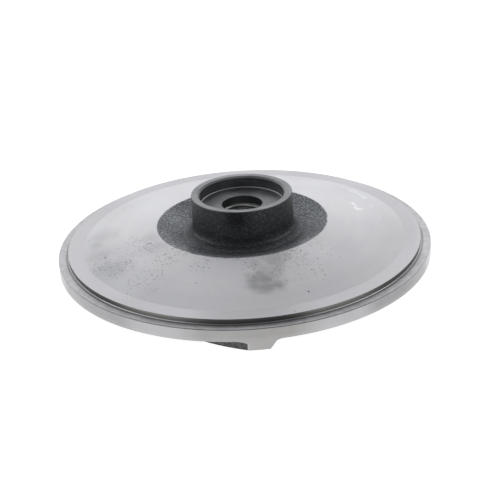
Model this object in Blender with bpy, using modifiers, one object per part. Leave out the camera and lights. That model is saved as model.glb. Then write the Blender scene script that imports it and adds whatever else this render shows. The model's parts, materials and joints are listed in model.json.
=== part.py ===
"""Centrifugal pump impeller: one iron casting, turned on its back, lying on its vane edges.

Units are metres, +Z up.  The origin is the middle of the plane that the vane edges stand on.
The back of the shroud faces up, with the hub, its counterbore and its blind threaded bore.
The threaded bore is drawn at the diameter of its tapping drill.
"""
import math

import bmesh
import bpy
from mathutils import Vector

# Rim and machined back of the shroud
OUTER_RADIUS = 0.1240
RIM_BOTTOM = 0.0062
LAND_HEIGHT = 0.0140
LAND_INNER_RADIUS = 0.1174
BAND_HEIGHT = 0.0173
BAND_INNER_RADIUS = 0.1072
CREST_RADIUS = 0.0566
CREST_HEIGHT = 0.0275
RIM_EDGE_BREAK = 0.0003

# Rough dish round the hub, and the hub boss
DISH_FLOOR = 0.0218
HUB_RADIUS = 0.0334
HUB_ROOT_RADIUS = 0.0338
HUB_TOP = 0.0478
HUB_FILLET = 0.0050
EDGE_BREAK = 0.0005

# Counterbore, relief bore and blind threaded bore
COUNTERBORE_RADIUS = 0.0281
COUNTERBORE_FLOOR = 0.0398
RELIEF_RADIUS = 0.0135
RELIEF_BOTTOM = 0.0343
THREAD_DRILL_RADIUS = 0.0123
BORE_BOTTOM = 0.0150
DRILL_HALF_ANGLE = math.radians(59.0)

# Underside of the shroud, and the nose that closes the bore
UNDERSIDE_OUTER_RADIUS = 0.1120
UNDERSIDE_INNER_RADIUS = 0.0600
UNDERSIDE_HEIGHT = 0.0142
NOSE_RADIUS = 0.0215
NOSE_FILLET = 0.0050
NOSE_ROUNDING = 0.0070
NOSE_BOTTOM = 0.0015

# Vanes: logarithmic spirals whose fronts are faced off at z = 0
VANE_COUNT = 3
VANE_ANGLE = math.radians(20.7)
VANE_TIP_AZIMUTH = math.radians(-87.2)
VANE_EYE_RADIUS = 0.0380
VANE_THICKNESS = 0.0043
VANE_NOSE_LENGTH = 0.0090
VANE_OVERRUN = 0.0100
OUTER_FILLET = 0.0032
OUTER_LEAN = 0.0001
INNER_FILLET = 0.0013
INNER_LEAN = 0.0017
VANE_ROOT_DEPTH = 0.0030

# Sections along a vane, crowded towards its rounded nose
VANE_STATIONS = 30
FIRST_STATION = 0.35
STATION_CROWDING = 1.4

# Stock left on the rough casting for the lathe
TURNING_STOCK = 0.0015

# Facets round the axis, and facets in a quarter of a fillet
SIDES = 72
FILLET_STEPS = 3
CREASE_ANGLE = math.radians(28.0)

MERGE_DISTANCE = 0.00001

# Grey iron, partly bright and partly as cast
IRON_COLOUR = (0.42, 0.42, 0.44, 1.0)
IRON_ROUGHNESS = 0.45
IRON_METALLIC = 0.80


def clear_scene():
    """Empty the file of whatever it opened with."""
    for old in list(bpy.data.objects):
        bpy.data.objects.remove(old, do_unlink=True)


def make_collection(name):
    """Add a collection to the scene."""
    collection = bpy.data.collections.new(name)
    bpy.context.scene.collection.children.link(collection)
    return collection


def arc(centre, radius, start, end, steps=FILLET_STEPS):
    """Points (radius, height) along an arc, angles in degrees from the +X direction."""
    points = []
    for step in range(steps + 1):
        angle = math.radians(start + (end - start) * step / steps)
        points.append((centre[0] + radius * math.cos(angle), centre[1] + radius * math.sin(angle)))
    return points


def bore_profile():
    """The blind bore and the counterbore, from the axis up to the top face of the hub."""
    drill_point = BORE_BOTTOM - THREAD_DRILL_RADIUS / math.tan(DRILL_HALF_ANGLE)
    lead_in = RELIEF_RADIUS - THREAD_DRILL_RADIUS
    return [
        (0.0, drill_point),
        (THREAD_DRILL_RADIUS, BORE_BOTTOM),
        (THREAD_DRILL_RADIUS, RELIEF_BOTTOM - lead_in),
        (RELIEF_RADIUS, RELIEF_BOTTOM),
        (RELIEF_RADIUS, COUNTERBORE_FLOOR),
        (COUNTERBORE_RADIUS - EDGE_BREAK, COUNTERBORE_FLOOR),
        (COUNTERBORE_RADIUS, COUNTERBORE_FLOOR + EDGE_BREAK),
        (COUNTERBORE_RADIUS, HUB_TOP - EDGE_BREAK),
        (COUNTERBORE_RADIUS + EDGE_BREAK, HUB_TOP),
    ]


def hub_and_dish_profile():
    """The outside of the hub, its fillet, and the dish that rises to the machined crest."""
    centre = (HUB_ROOT_RADIUS + HUB_FILLET, DISH_FLOOR + HUB_FILLET)
    reach = math.hypot(CREST_RADIUS - centre[0], CREST_HEIGHT - centre[1])
    towards_crest = math.atan2(CREST_HEIGHT - centre[1], CREST_RADIUS - centre[0])
    dish_slope = towards_crest + math.asin(HUB_FILLET / reach)
    fillet = arc(centre, HUB_FILLET, 180.0, 270.0 + math.degrees(dish_slope))
    top_edge = [(HUB_RADIUS - EDGE_BREAK, HUB_TOP), (HUB_RADIUS, HUB_TOP - EDGE_BREAK)]
    return top_edge + fillet


def back_profile():
    """The turned cone and flat band, the step down to the land, and the rough rim."""
    blank_radius = OUTER_RADIUS + TURNING_STOCK
    return [
        (CREST_RADIUS, CREST_HEIGHT),
        (BAND_INNER_RADIUS, BAND_HEIGHT),
        (LAND_INNER_RADIUS, BAND_HEIGHT),
        (LAND_INNER_RADIUS, LAND_HEIGHT),
        (blank_radius, LAND_HEIGHT),
        (blank_radius, RIM_BOTTOM),
    ]


def front_profile():
    """The underside of the shroud and the nose, down to the axis."""
    fillet_centre = (NOSE_RADIUS + NOSE_FILLET, UNDERSIDE_HEIGHT - NOSE_FILLET)
    rounding_centre = (NOSE_RADIUS - NOSE_ROUNDING, NOSE_BOTTOM + NOSE_ROUNDING)
    return [
        (UNDERSIDE_OUTER_RADIUS, RIM_BOTTOM),
        (UNDERSIDE_INNER_RADIUS, UNDERSIDE_HEIGHT),
        *arc(fillet_centre, NOSE_FILLET, 90.0, 180.0),
        *arc(rounding_centre, NOSE_ROUNDING, 0.0, -90.0),
        (0.0, NOSE_BOTTOM),
    ]


def turned_object(name, profile, collection):
    """Turn a profile of (radius, height) points round the Z axis with a Screw modifier."""
    mesh = bpy.data.meshes.new(name)
    edges = [(index, index + 1) for index in range(len(profile) - 1)]
    mesh.from_pydata([(radius, 0.0, height) for radius, height in profile], edges, [])
    turned = bpy.data.objects.new(name, mesh)
    collection.objects.link(turned)
    screw = turned.modifiers.new("turn", "SCREW")
    screw.axis = "Z"
    screw.angle = math.tau
    screw.steps = SIDES
    screw.render_steps = SIDES
    screw.use_merge_vertices = True
    screw.merge_threshold = MERGE_DISTANCE
    return turned


def underside_height(radius):
    """Height of the underside of the shroud at a distance from the axis."""
    run = UNDERSIDE_OUTER_RADIUS - UNDERSIDE_INNER_RADIUS
    share = (UNDERSIDE_OUTER_RADIUS - radius) / run
    return RIM_BOTTOM + (UNDERSIDE_HEIGHT - RIM_BOTTOM) * min(max(share, 0.0), 1.0)


def spiral_point(radius, tip_azimuth):
    """The point of a vane's centre line at a distance from the axis, and its sideways direction."""
    azimuth = tip_azimuth - math.log(OUTER_RADIUS / radius) / math.tan(VANE_ANGLE)
    outward = Vector((math.cos(azimuth), math.sin(azimuth), 0.0))
    around = Vector((-math.sin(azimuth), math.cos(azimuth), 0.0))
    sideways = outward * math.cos(VANE_ANGLE) - around * math.sin(VANE_ANGLE)
    return outward * radius, sideways


def vane_side(centre, across, width_share, fillet, lean):
    """One side of a vane's section, from its front edge up into the shroud."""
    foot = VANE_THICKNESS / 2
    slope = lean / underside_height(centre.length)
    front = (foot - slope * TURNING_STOCK) * width_share
    points = [centre + across * front + Vector((0.0, 0.0, -TURNING_STOCK))]
    for step in range(FILLET_STEPS + 1):
        turn = math.pi / 2 * step / FILLET_STEPS
        spread = foot + fillet * (1.0 - math.cos(turn))
        below = fillet * width_share * (1.0 - math.sin(turn))
        guess = centre + across * spread
        height = underside_height(guess.length) - below
        leaning = (spread + slope * height) * width_share
        points.append(centre + across * leaning + Vector((0.0, 0.0, height)))
    root = points[-1].copy()
    root.z += VANE_ROOT_DEPTH
    points.append(root)
    return points


def vane_section(radius, distance, tip_azimuth):
    """The closed outline of a vane where its centre line is at a given radius."""
    centre, sideways = spiral_point(radius, tip_azimuth)
    along_nose = min(distance / VANE_NOSE_LENGTH, 1.0)
    width_share = math.sqrt(1.0 - (1.0 - along_nose) ** 2)
    outside = vane_side(centre, sideways, width_share, OUTER_FILLET, OUTER_LEAN)
    inside = vane_side(centre, -sideways, width_share, INNER_FILLET, INNER_LEAN)
    return outside + inside[::-1]


def make_vane(index, collection):
    """Loft one vane from its rounded nose near the eye to just past the rim."""
    tip_azimuth = VANE_TIP_AZIMUTH + math.tau * index / VANE_COUNT
    length = (OUTER_RADIUS + VANE_OVERRUN - VANE_EYE_RADIUS) / math.sin(VANE_ANGLE)
    shape = bmesh.new()
    rings = []
    for station in range(VANE_STATIONS):
        share = (station + FIRST_STATION) / (VANE_STATIONS - 1 + FIRST_STATION)
        distance = length * share ** STATION_CROWDING
        radius = VANE_EYE_RADIUS + distance * math.sin(VANE_ANGLE)
        section = vane_section(radius, distance, tip_azimuth)
        rings.append([shape.verts.new(point) for point in section])
    corners = len(rings[0])
    for near, far in zip(rings, rings[1:]):
        for corner in range(corners):
            following = (corner + 1) % corners
            shape.faces.new((near[corner], near[following], far[following], far[corner]))
    shape.faces.new(rings[0][::-1])
    shape.faces.new(rings[-1])
    bmesh.ops.recalc_face_normals(shape, faces=shape.faces)
    mesh = bpy.data.meshes.new(f"vane_{index + 1}")
    shape.to_mesh(mesh)
    shape.free()
    vane = bpy.data.objects.new(f"vane_{index + 1}", mesh)
    collection.objects.link(vane)
    return vane


def make_turning_envelope(collection):
    """All that is left once the rim and vane tips are turned and the vane fronts faced."""
    clear_of_hub = HUB_TOP + 2 * TURNING_STOCK
    above_land = LAND_HEIGHT + TURNING_STOCK
    profile = [
        (0.0, clear_of_hub),
        (OUTER_RADIUS - RIM_EDGE_BREAK - TURNING_STOCK, clear_of_hub),
        (OUTER_RADIUS - RIM_EDGE_BREAK - TURNING_STOCK, above_land),
        (OUTER_RADIUS, LAND_HEIGHT - RIM_EDGE_BREAK),
        (OUTER_RADIUS, 0.0),
        (0.0, 0.0),
    ]
    return turned_object("turning_envelope", profile, collection)


def add_boolean(target, operation, other):
    """Join or trim the target with another object, which is then only a guide."""
    boolean = target.modifiers.new(other.name, "BOOLEAN")
    boolean.operation = operation
    boolean.solver = "EXACT"
    boolean.object = other
    other.hide_render = True
    other.display_type = "WIRE"


def cast_iron():
    """Grey cast iron, turned bright on the back."""
    material = bpy.data.materials.new("grey_cast_iron")
    material.use_nodes = True
    shader = material.node_tree.nodes["Principled BSDF"]
    shader.inputs["Base Color"].default_value = IRON_COLOUR
    shader.inputs["Roughness"].default_value = IRON_ROUGHNESS
    shader.inputs["Metallic"].default_value = IRON_METALLIC
    return material


def shade_round_faces(target):
    """Keep the result of the modifiers as the object's mesh, smooth except at real edges."""
    shape = target.evaluated_get(bpy.context.evaluated_depsgraph_get())
    mesh = bpy.data.meshes.new_from_object(shape)
    target.modifiers.clear()
    target.data = mesh
    mesh.shade_smooth()
    mesh.set_sharp_from_angle(angle=CREASE_ANGLE)


def build_impeller():
    """Cast the blank, add the vanes, then turn and face the whole."""
    clear_scene()
    parts = make_collection("pump_impeller")
    guides = make_collection("cutters")
    profile = bore_profile() + hub_and_dish_profile() + back_profile() + front_profile()
    impeller = turned_object("impeller_casting", profile, parts)
    for index in range(VANE_COUNT):
        add_boolean(impeller, "UNION", make_vane(index, guides))
    add_boolean(impeller, "INTERSECT", make_turning_envelope(guides))
    bpy.context.view_layer.update()
    shade_round_faces(impeller)
    impeller.data.materials.clear()
    impeller.data.materials.append(cast_iron())


build_impeller()
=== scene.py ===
# %% [markdown]
# # A centrifugal pump impeller in grey cast iron
#
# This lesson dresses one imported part: an impeller that lies on its vanes, back side up.
# The real one is poured as a single iron casting.  A lathe then turns its back, its rim, the top
# of its hub and its bores bright, and everything else keeps the dark skin of the sand mould.
# So the whole lesson is about two surfaces on one body, and about the ragged line between them.

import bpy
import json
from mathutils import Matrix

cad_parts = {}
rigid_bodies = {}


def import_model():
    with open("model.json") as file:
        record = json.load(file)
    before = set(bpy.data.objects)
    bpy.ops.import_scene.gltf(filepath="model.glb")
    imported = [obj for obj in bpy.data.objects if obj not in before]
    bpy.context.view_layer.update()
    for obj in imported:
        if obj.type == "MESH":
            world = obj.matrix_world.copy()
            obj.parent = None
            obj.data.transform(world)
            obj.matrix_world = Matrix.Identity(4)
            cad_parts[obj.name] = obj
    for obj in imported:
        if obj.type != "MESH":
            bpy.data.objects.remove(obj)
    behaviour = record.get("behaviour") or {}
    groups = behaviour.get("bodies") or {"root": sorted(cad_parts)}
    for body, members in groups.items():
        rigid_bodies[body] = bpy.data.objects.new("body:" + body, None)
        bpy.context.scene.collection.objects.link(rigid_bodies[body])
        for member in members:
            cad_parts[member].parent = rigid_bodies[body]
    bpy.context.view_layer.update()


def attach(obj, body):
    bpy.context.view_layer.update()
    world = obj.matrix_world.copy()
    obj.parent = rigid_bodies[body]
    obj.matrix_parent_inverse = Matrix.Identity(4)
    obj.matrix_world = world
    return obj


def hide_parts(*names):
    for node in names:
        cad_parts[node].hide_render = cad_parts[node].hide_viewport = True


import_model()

# %% The tools of this lesson
import json
import math

import bmesh
import bpy
from mathutils import Vector, noise

MM = 0.001
scene = bpy.context.scene

# %% [markdown]
# ## Where the camera stands
#
# The photograph was taken from a little over 25 degrees above the back plate, from about 0.7 m.
# The place, turn and lens below were fitted to the circles of the turned steps, and one look
# through them shows the part as large, and as tilted, as it is in the photograph.
# A camera could also be aimed by hand, but a fit keeps every edge of the lesson to the pixel.

# %% Camera
SENSOR_WIDTH = 36.0
LENS_LENGTH = 79.35
CAMERA_PLACE = (0.003444, -0.673131, 0.325199)
CAMERA_TURN = (64.53731, 2.98670, -1.42126)
camera_lens = bpy.data.cameras.new("camera")
camera_lens.sensor_width = SENSOR_WIDTH
camera_lens.lens = LENS_LENGTH
camera = bpy.data.objects.new("camera", camera_lens)
camera.location = CAMERA_PLACE
camera.rotation_euler = [math.radians(turn) for turn in CAMERA_TURN]
scene.collection.objects.link(camera)
scene.camera = camera
print("the camera is", round(camera.location.length, 3), "m from the middle of the part")

# %% [markdown]
# ## The measures of the casting
#
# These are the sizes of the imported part, in millimetres.  The visual model keeps every one of
# them and only makes the rounds rounder, the fillets finer and the skin rough.

# %% Measures
OUTER_RADIUS = 124.0 * MM
RIM_BOTTOM = 6.2 * MM
LAND_HEIGHT = 14.0 * MM
LAND_INNER_RADIUS = 117.4 * MM
BAND_HEIGHT = 17.3 * MM
BAND_INNER_RADIUS = 107.2 * MM
CREST_RADIUS = 56.6 * MM
CREST_HEIGHT = 27.5 * MM
DISH_FLOOR = 21.8 * MM
HUB_RADIUS = 33.4 * MM
HUB_ROOT_RADIUS = 33.8 * MM
HUB_TOP = 47.8 * MM
HUB_FILLET = 5.0 * MM
COUNTERBORE_RADIUS = 28.1 * MM
COUNTERBORE_FLOOR = 39.8 * MM
RELIEF_RADIUS = 13.5 * MM
RELIEF_BOTTOM = 34.3 * MM
THREAD_DRILL_RADIUS = 12.3 * MM
BORE_BOTTOM = 15.0 * MM
UNDERSIDE_OUTER_RADIUS = 112.0 * MM
UNDERSIDE_INNER_RADIUS = 60.0 * MM
UNDERSIDE_HEIGHT = 14.2 * MM
NOSE_RADIUS = 21.5 * MM
NOSE_FILLET = 5.0 * MM
NOSE_ROUNDING = 7.0 * MM
NOSE_BOTTOM = 1.5 * MM
CONE_SLOPE = (CREST_HEIGHT - BAND_HEIGHT) / (BAND_INNER_RADIUS - CREST_RADIUS)
print("the back falls", round(math.degrees(math.atan(CONE_SLOPE)), 1), "degrees towards the rim")

# %% [markdown]
# ## Turning in rings
#
# A lathe makes round things, so the body is made of rings of points stacked along a profile.
# The Screw modifier would also do it, but it gives every ring the same number of points.
# Here the rough dish needs points half a millimetre apart, while the small bore needs few,
# so the rings are written in mesh code and the finer ring may have twice as many points.

# %% Helpers for profiles
FINE = 540
MIDDLE = 270
COARSE = 135


def arc(centre, radius, start, end, steps):
    """Points (radius, height) along an arc, angles in degrees from the outward direction."""
    points = []
    for step in range(steps + 1):
        angle = math.radians(start + (end - start) * step / steps)
        points.append((centre[0] + radius * math.cos(angle), centre[1] + radius * math.sin(angle)))
    return points


def walk(corners, spacing):
    """Points along a line of corners, about as far apart as the spacing."""
    points = [corners[0]]
    for start, end in zip(corners, corners[1:]):
        steps = max(1, round(math.dist(start, end) / spacing))
        for step in range(1, steps + 1):
            share = step / steps
            radius = start[0] + (end[0] - start[0]) * share
            height = start[1] + (end[1] - start[1]) * share
            points.append((radius, height))
    return points


def rows(points, count):
    """Give each point of a profile the number of points of its ring."""
    return [(radius, height, count) for radius, height in points]


# %% Helpers for rings
def add_ring(shape, radius, height, count):
    """Add one ring of points; a ring with no radius is the single point on the axis."""
    if radius < 0.001 * MM:
        return [shape.verts.new((0.0, 0.0, height))]
    ring = []
    for index in range(count):
        azimuth = math.tau * index / count
        x, y = radius * math.cos(azimuth), radius * math.sin(azimuth)
        ring.append(shape.verts.new((x, y, height)))
    return ring


def stitch(shape, near, far):
    """Join two rings by faces; one may be a point, or have twice as many points."""
    if len(near) > len(far):
        near, far = far, near
    count = len(near)
    for index in range(len(far) if count == 1 else count):
        following = (index + 1) % max(count, 2)
        if count == 1:
            shape.faces.new((near[0], far[index], far[(index + 1) % len(far)]))
        elif count == len(far):
            shape.faces.new((near[index], near[following], far[following], far[index]))
        else:
            left, middle = far[2 * index], far[2 * index + 1]
            right = far[(2 * index + 2) % len(far)]
            shape.faces.new((near[index], left, middle))
            shape.faces.new((near[index], middle, near[following]))
            shape.faces.new((near[following], middle, right))


def add_object(name, shape):
    """Put a finished shape into the scene as an object."""
    mesh = bpy.data.meshes.new(name)
    shape.to_mesh(mesh)
    shape.free()
    thing = bpy.data.objects.new(name, mesh)
    scene.collection.objects.link(thing)
    return thing


def turn_solid(name, profile):
    """Turn a profile of (radius, height, count) rows, from axis to axis, into a closed solid."""
    shape = bmesh.new()
    rings = [add_ring(shape, *row) for row in profile]
    for near, far in zip(rings, rings[1:]):
        stitch(shape, near, far)
    bmesh.ops.recalc_face_normals(shape, faces=shape.faces)
    return add_object(name, shape)


# %% [markdown]
# ## The bores in the hub
#
# A counterbore seats the shoulder of the shaft, and a threaded blind bore takes its end.
# Between them is a short plain relief.  Each inside corner gets the small round that a lathe
# tool leaves, because that round is what shines as a thin bright line at the counterbore floor.

# %% Bore profile
SMALL_ROUND = 0.35 * MM
MOUTH_CHAMFER = 1.1 * MM
SEAT_ROUND = 0.7 * MM
RELIEF_CHAMFER = 0.2 * MM
DRILL_HALF_ANGLE = math.radians(59.0)
THREAD_SPACING = 0.33 * MM
FLOOR_RING_START = 19.0 * MM
DRILL_RING = 6.0 * MM
RELIEF_SPACING = 1.2 * MM
FLOOR_SPACING = 2.5 * MM
WALL_SPACING = 1.5 * MM
WALL_START = 1.0 * MM
thread_top = (THREAD_DRILL_RADIUS, RELIEF_BOTTOM - RELIEF_CHAMFER)
thread_wall = walk([(THREAD_DRILL_RADIUS, BORE_BOTTOM), thread_top], THREAD_SPACING)
relief_top = (RELIEF_RADIUS, COUNTERBORE_FLOOR - RELIEF_CHAMFER)
relief_wall = walk([(RELIEF_RADIUS, RELIEF_BOTTOM), relief_top], RELIEF_SPACING)
relief_wall.append((RELIEF_RADIUS + RELIEF_CHAMFER, COUNTERBORE_FLOOR))
seat_centre = (COUNTERBORE_RADIUS - SEAT_ROUND, COUNTERBORE_FLOOR + SEAT_ROUND)
seat_start = (FLOOR_RING_START, COUNTERBORE_FLOOR)
seat = walk([seat_start, (seat_centre[0], COUNTERBORE_FLOOR)], FLOOR_SPACING)
seat += arc(seat_centre, SEAT_ROUND, -90.0, 0.0, 5)[1:]
wall_start = (COUNTERBORE_RADIUS, COUNTERBORE_FLOOR + WALL_START)
seat += walk([wall_start, (COUNTERBORE_RADIUS, HUB_TOP - MOUTH_CHAMFER)], WALL_SPACING)
seat.append((COUNTERBORE_RADIUS + MOUTH_CHAMFER, HUB_TOP))
drill_point = BORE_BOTTOM - THREAD_DRILL_RADIUS / math.tan(DRILL_HALF_ANGLE)
bore_rows = [(0.0, drill_point, 1), (DRILL_RING, (drill_point + BORE_BOTTOM) / 2, COARSE)]
bore_rows += rows(thread_wall + relief_wall, COARSE) + rows(seat, MIDDLE)
print("rings in the bores:", len(bore_rows))

# %% [markdown]
# ## The hub and the rough dish
#
# The side of the hub runs down through a fillet into a dish that the mould left a few
# millimetres below the turned cone.  Its rings lie close together, since the grain of the sand
# is real shape here and not only a pattern.  The dish and the first centimetre of the cone are
# one stretch of fine rings, and the ragged line between them is cut further on.

# %% Hub and dish profile
SKIN_SPACING = 0.68 * MM
fillet_centre = (HUB_ROOT_RADIUS + HUB_FILLET, DISH_FLOOR + HUB_FILLET)
reach = math.hypot(CREST_RADIUS - fillet_centre[0], CREST_HEIGHT - fillet_centre[1])
towards_crest = math.atan2(CREST_HEIGHT - fillet_centre[1], CREST_RADIUS - fillet_centre[0])
dish_angle = towards_crest + math.asin(HUB_FILLET / reach)
DISH_SLOPE = math.tan(dish_angle)
hub_fillet = arc(fillet_centre, HUB_FILLET, 180.0, 270.0 + math.degrees(dish_angle), 13)
TOP_RING_START = 30.2 * MM
TOP_RING_END = 32.0 * MM
TOP_RING_SPACING = 0.9 * MM
top_ends = [(TOP_RING_START, HUB_TOP), (TOP_RING_END, HUB_TOP)]
top_ring = rows(walk(top_ends, TOP_RING_SPACING), MIDDLE)
hub_edge = rows(
    arc((HUB_RADIUS - SMALL_ROUND, HUB_TOP - SMALL_ROUND), SMALL_ROUND, 90.0, 0.0, 3), FINE
)
hub_wall = walk([(HUB_RADIUS, HUB_TOP - SMALL_ROUND), hub_fillet[0]], SKIN_SPACING)
hub_side = rows(hub_wall[1:] + hub_fillet[1:], FINE)
NEAR_CONE_RADIUS = 71.0 * MM
near_cone = (NEAR_CONE_RADIUS, CREST_HEIGHT - (NEAR_CONE_RADIUS - CREST_RADIUS) * CONE_SLOPE)
dish_rows = rows(
    walk([hub_fillet[-1], (CREST_RADIUS, CREST_HEIGHT), near_cone], SKIN_SPACING)[1:], FINE
)
print("the dish rises", round(math.degrees(dish_angle), 1), "degrees towards its crest")

# %% [markdown]
# ## The turned back and the rim
#
# Outside the dish the lathe has cut a long flat cone, a level band, a step down to the land and
# the rim.  The step's inside corner keeps the nose round of the tool.  The rim is left too large
# here, like the real blank, and is cut to size together with the tips of the vanes.

# %% Back profile
TURNING_STOCK = 1.5 * MM
STEP_ROUND = 0.6 * MM
BORDER = 0.3 * MM
BAND_EDGE_BREAK = 0.15 * MM
BACK_SPACING = 3.4 * MM
LAND_SPACING = 2.4 * MM
blank_radius = OUTER_RADIUS + TURNING_STOCK
cone_end = (BAND_INNER_RADIUS - BORDER, BAND_HEIGHT + BORDER * CONE_SLOPE)
cone_points = walk([near_cone, cone_end], BACK_SPACING)[1:]
band_start = (BAND_INNER_RADIUS + BORDER, BAND_HEIGHT)
band_end = (LAND_INNER_RADIUS - BAND_EDGE_BREAK, BAND_HEIGHT)
band_points = [(BAND_INNER_RADIUS, BAND_HEIGHT)] + walk([band_start, band_end], BACK_SPACING)
step_points = [
    (LAND_INNER_RADIUS, BAND_HEIGHT - BAND_EDGE_BREAK),
    (LAND_INNER_RADIUS, (BAND_HEIGHT + LAND_HEIGHT) / 2),
]
step_corner = arc(
    (LAND_INNER_RADIUS + STEP_ROUND, LAND_HEIGHT + STEP_ROUND), STEP_ROUND, 180.0, 270.0, 5
)
land_start = (LAND_INNER_RADIUS + STEP_ROUND, LAND_HEIGHT)
land_points = walk([land_start, (blank_radius, LAND_HEIGHT)], LAND_SPACING)[1:]
back_rows = rows(cone_points + band_points + step_points + step_corner + land_points, MIDDLE)
print("rings in the back:", len(back_rows))

# %% [markdown]
# ## The underside and the nose
#
# The front of the shroud is never machined: it is as the mould left it, thin at the rim and
# thicker towards the eye.  In the middle a round nose closes the blind bore and turns the liquid
# outwards.

# %% Underside profile
UNDERSIDE_SPACING = 2.1 * MM
fillet_middle = (NOSE_RADIUS + NOSE_FILLET, UNDERSIDE_HEIGHT - NOSE_FILLET)
nose_fillet = arc(fillet_middle, NOSE_FILLET, 90.0, 180.0, 6)
round_middle = (NOSE_RADIUS - NOSE_ROUNDING, NOSE_BOTTOM + NOSE_ROUNDING)
nose_round = arc(round_middle, NOSE_ROUNDING, 0.0, -90.0, 8)
underside_points = walk(
    [
        (blank_radius, RIM_BOTTOM),
        (UNDERSIDE_OUTER_RADIUS, RIM_BOTTOM),
        (UNDERSIDE_INNER_RADIUS, UNDERSIDE_HEIGHT),
        nose_fillet[0],
    ],
    UNDERSIDE_SPACING,
)
nose_end = [(9.0 * MM, NOSE_BOTTOM), (4.0 * MM, NOSE_BOTTOM)]
underside_rows = rows(underside_points + nose_fillet[1:] + nose_round, MIDDLE)
underside_rows += rows(nose_end, COARSE) + [(0.0, NOSE_BOTTOM, 1)]
hub_rows = top_ring + hub_edge + hub_side
body = turn_solid("iron_casting", bore_rows + hub_rows + dish_rows + back_rows + underside_rows)
print("faces of the turned body:", len(body.data.polygons))

# %% [markdown]
# ## The vanes
#
# Three vanes wind out from the eye on log spirals, so they meet every circle at one angle.
# Each is lofted from sections that stand square to its centre line, with a small fillet on the
# outer side and a larger one on the inner side, as the one vane tip in the photograph shows.
# A swept curve could do the same, but its section could not follow the sloping underside.

# %% Vane sizes
VANE_COUNT = 3
VANE_ANGLE = math.radians(20.7)
VANE_TIP_AZIMUTH = math.radians(-87.2)
VANE_EYE_RADIUS = 38.0 * MM
VANE_THICKNESS = 4.3 * MM
VANE_NOSE_LENGTH = 9.0 * MM
VANE_OVERRUN = 10.0 * MM
OUTER_FILLET = 3.2 * MM
OUTER_LEAN = 0.1 * MM
INNER_FILLET = 1.3 * MM
INNER_LEAN = 1.7 * MM
VANE_ROOT_DEPTH = 3.0 * MM
VANE_STATIONS = 90
FIRST_STATION = 0.35
LAST_STATION = VANE_STATIONS - 0.65
CROWDING = 1.3
VANE_FILLET_STEPS = 6


# %% Vane sections
def underside_height(radius):
    """Height of the underside of the shroud at a distance from the axis."""
    share = (UNDERSIDE_OUTER_RADIUS - radius) / (UNDERSIDE_OUTER_RADIUS - UNDERSIDE_INNER_RADIUS)
    return RIM_BOTTOM + (UNDERSIDE_HEIGHT - RIM_BOTTOM) * min(max(share, 0.0), 1.0)


def spiral_point(radius, tip_azimuth):
    """The point of a vane's centre line at a distance from the axis, and its sideways direction."""
    azimuth = tip_azimuth - math.log(OUTER_RADIUS / radius) / math.tan(VANE_ANGLE)
    outward = Vector((math.cos(azimuth), math.sin(azimuth), 0.0))
    around = Vector((-math.sin(azimuth), math.cos(azimuth), 0.0))
    return outward * radius, outward * math.cos(VANE_ANGLE) - around * math.sin(VANE_ANGLE)


def vane_side(centre, across, width_share, fillet, lean):
    """One side of a vane's section, from its front edge up into the shroud."""
    foot = VANE_THICKNESS / 2
    root_height = underside_height(centre.length)
    slope = lean / root_height
    straight = root_height - fillet

    def point_at(spread, height):
        leaning = (spread + slope * height) * width_share
        return centre + across * leaning + Vector((0.0, 0.0, height))

    heights = (-TURNING_STOCK, straight * 0.35, straight * 0.7)
    points = [point_at(foot, height) for height in heights]
    for step in range(VANE_FILLET_STEPS + 1):
        turn = math.pi / 2 * step / VANE_FILLET_STEPS
        spread = foot + fillet * (1.0 - math.cos(turn))
        below = fillet * width_share * (1.0 - math.sin(turn))
        guess = centre + across * spread
        points.append(point_at(spread, underside_height(guess.length) - below))
    points.append(points[-1] + Vector((0.0, 0.0, VANE_ROOT_DEPTH)))
    return points


# %% Loft the vanes
def loft_vane(index):
    """Loft one vane from its rounded nose near the eye to just past the rim."""
    tip_azimuth = VANE_TIP_AZIMUTH + math.tau * index / VANE_COUNT
    length = (OUTER_RADIUS + VANE_OVERRUN - VANE_EYE_RADIUS) / math.sin(VANE_ANGLE)
    shape = bmesh.new()
    sections = []
    for station in range(VANE_STATIONS):
        distance = length * ((station + FIRST_STATION) / LAST_STATION) ** CROWDING
        radius = VANE_EYE_RADIUS + distance * math.sin(VANE_ANGLE)
        centre, sideways = spiral_point(radius, tip_azimuth)
        along_nose = min(distance / VANE_NOSE_LENGTH, 1.0)
        width_share = math.sqrt(1.0 - (1.0 - along_nose) ** 2)
        outside = vane_side(centre, sideways, width_share, OUTER_FILLET, OUTER_LEAN)
        inside = vane_side(centre, -sideways, width_share, INNER_FILLET, INNER_LEAN)
        sections.append([shape.verts.new(point) for point in outside + inside[::-1]])
    for near, far in zip(sections, sections[1:]):
        for corner in range(len(near)):
            following = (corner + 1) % len(near)
            shape.faces.new((near[corner], near[following], far[following], far[corner]))
    shape.faces.new(sections[0][::-1])
    shape.faces.new(sections[-1])
    bmesh.ops.recalc_face_normals(shape, faces=shape.faces)
    return add_object(f"vane_{index + 1}", shape)


vanes = [loft_vane(index) for index in range(VANE_COUNT)]
print("vanes lofted:", len(vanes))

# %% [markdown]
# ## Pour it in one, then face and turn it
#
# The vanes and the shroud are one pour of iron, so they are joined by a Boolean union.
# The foundry's machinist then faces the vane fronts to one plane and turns the rim and the vane
# tips in one cut.  An intersection with the shape that the tools leave does both at once, and
# gives the flush vane end that the photograph shows under the rim.

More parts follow.
